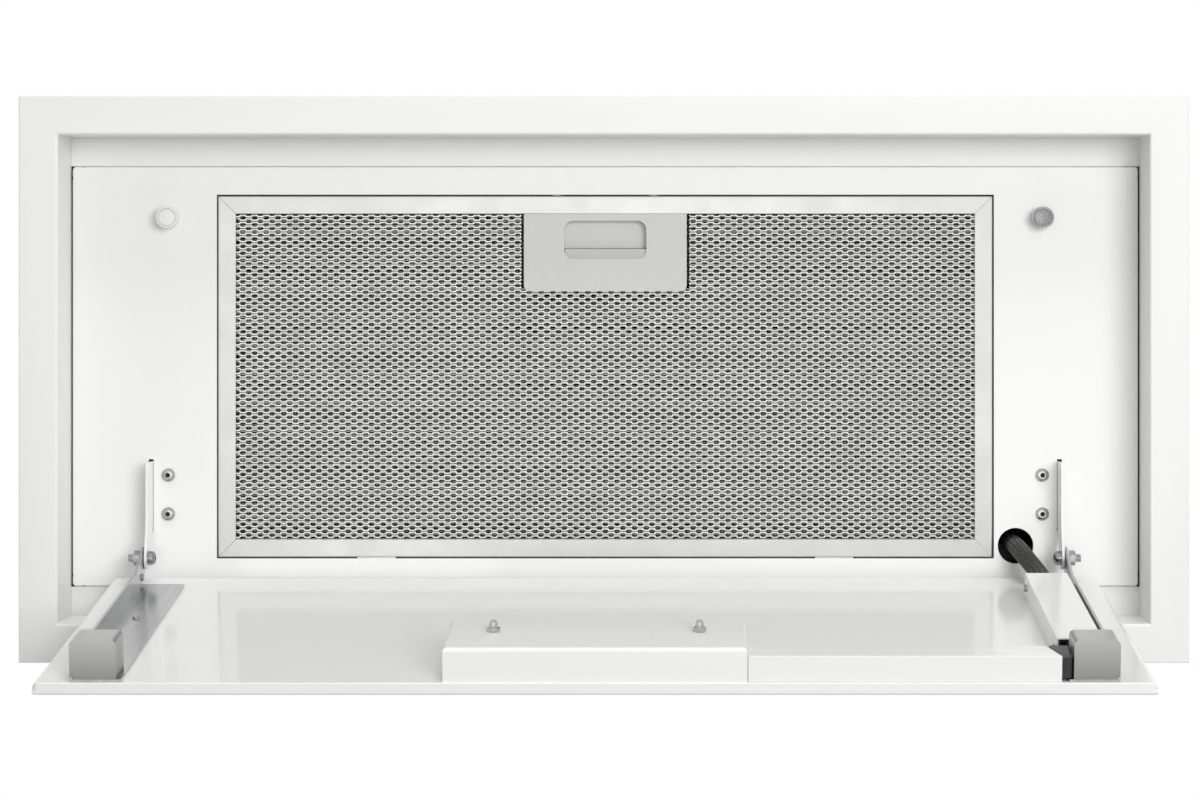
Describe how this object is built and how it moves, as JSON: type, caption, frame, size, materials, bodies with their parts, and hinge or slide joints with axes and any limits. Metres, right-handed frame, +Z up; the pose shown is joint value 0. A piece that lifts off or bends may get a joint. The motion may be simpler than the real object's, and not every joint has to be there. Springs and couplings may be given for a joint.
{
  "type": "ceiling range hood",
  "caption": "Flush ceiling extractor hood with a hinged drop-down door, recessed grease filter, internal centrifugal blower and round duct outlet.",
  "frame": {"origin": "centre of the four ceiling screws, on the ceiling's face", "axes": "+X along the hood's length, +Y towards the door's hinges, +Z up into the ceiling"},
  "size_m": [0.9, 0.436, 0.6144],
  "materials": {
    "white_enamel": "glossy white enamel",
    "galvanised_sheet": "galvanised",
    "hinge_steel": "satin",
    "brushed_block": "brushed",
    "zinc_fastener": "zinc plated",
    "nickel": "polished nickel",
    "white_nylon": "satin",
    "magnet": "nickel-coated ferrite",
    "filter_aluminium": "anodised",
    "handle_plastic": "satin",
    "spring_steel": "drawn wire",
    "black_plastic": "moulded",
    "grey_plastic": "moulded",
    "motor_aluminium": "die cast",
    "lamination_steel": "laminated",
    "bearing_steel": "ground",
    "rubber": "matte",
    "circuit_board": "solder mask",
    "touch_glass": "back-painted, glossy",
    "cable_grey": "matte",
    "braided_sleeve": "braided"
  },
  "bodies": {
    "housing": {"trim_frame": "white_enamel", "housing_shell": "galvanised_sheet", "housing_top_plate": "galvanised_sheet", "housing_screws": "zinc_fastener", "inner_plate": "white_enamel", "hinge_bracket_left": "hinge_steel", "hinge_bracket_right": "hinge_steel", "hinge_bracket_screws": "zinc_fastener", "hinge_pivot_bolts": "zinc_fastener", "hinge_pivot_nuts": "zinc_fastener", "hinge_washers": "white_nylon", "catch_posts": "nickel", "catch_magnets": "magnet", "scroll_half_left": "black_plastic", "scroll_half_right": "black_plastic", "blower_screws": "zinc_fastener", "motor_bell_inner": "motor_aluminium", "motor_bell_outer": "motor_aluminium", "motor_stator": "lamination_steel", "motor_bearings": "bearing_steel", "motor_bracket": "galvanised_sheet", "motor_bracket_screws": "zinc_fastener", "motor_grommets": "rubber", "run_capacitor": "grey_plastic", "power_box": "black_plastic", "power_box_lid": "black_plastic", "power_board": "circuit_board", "cable_gland": "black_plastic", "hanger_brackets": "galvanised_sheet", "duct_collar": "black_plastic", "damper_pin": "zinc_fastener", "cable_sleeve": "braided_sleeve"},
    "impeller": {"impeller_wheel": "grey_plastic", "motor_shaft": "bearing_steel", "motor_rotor": "lamination_steel", "impeller_nut": "zinc_fastener"},
    "flap_front": {"damper_flap_front": "black_plastic"},
    "flap_rear": {"damper_flap_rear": "black_plastic"},
    "door": {"door_panel": "white_enamel", "door_outer_sheet": "white_enamel", "touch_panel": "touch_glass", "hinge_arm_left": "hinge_steel", "hinge_arm_right": "hinge_steel", "arm_rivets": "zinc_fastener", "strike_block_left": "brushed_block", "strike_block_right": "brushed_block", "control_box": "white_enamel", "control_box_nuts": "nickel", "cable_channel": "white_enamel", "cable_cover": "white_enamel", "cable_cover_screws": "zinc_fastener", "door_cable": "cable_grey", "cable_plug": "black_plastic"},
    "filter": {"filter_frame": "filter_aluminium", "filter_mesh_front": "filter_aluminium", "filter_mesh_middle": "filter_aluminium", "filter_mesh_back": "filter_aluminium", "filter_handle": "handle_plastic", "latch_spring": "spring_steel"},
    "latch": {"latch_slider": "handle_plastic"}
  },
  "joints": [
    {"name": "door_hinge", "type": "hinge", "parent": "housing", "child": "door", "pos_m": [0, 0.1403, 0.0265], "axis": [1, 0, 0], "range_deg": [-97.28, 0], "deforming": ["cable_sleeve"]},
    {"name": "impeller_spin", "type": "hinge", "parent": "housing", "child": "impeller", "pos_m": [0, 0.066, 0.18], "axis": [1, 0, 0], "continuous": true},
    {"name": "filter_swing", "type": "hinge", "parent": "housing", "child": "filter", "pos_m": [0, 0.142, 0.0507], "axis": [1, 0, 0], "range_deg": [0, 60]},
    {"name": "latch_slide", "type": "slide", "parent": "filter", "child": "latch", "axis": [0, 1, 0], "range_m": [0, 0.005], "stiffness_N_per_m": 200, "springref_m": -0.004, "deforming": ["latch_spring"]},
    {"name": "flap_front", "type": "hinge", "parent": "housing", "child": "flap_front", "pos_m": [0, 0, 0.3162], "axis": [-1, 0, 0], "range_deg": [0, 75]},
    {"name": "flap_rear", "type": "hinge", "parent": "housing", "child": "flap_rear", "pos_m": [0, 0, 0.3162], "axis": [1, 0, 0], "range_deg": [0, 75]}
  ]
}
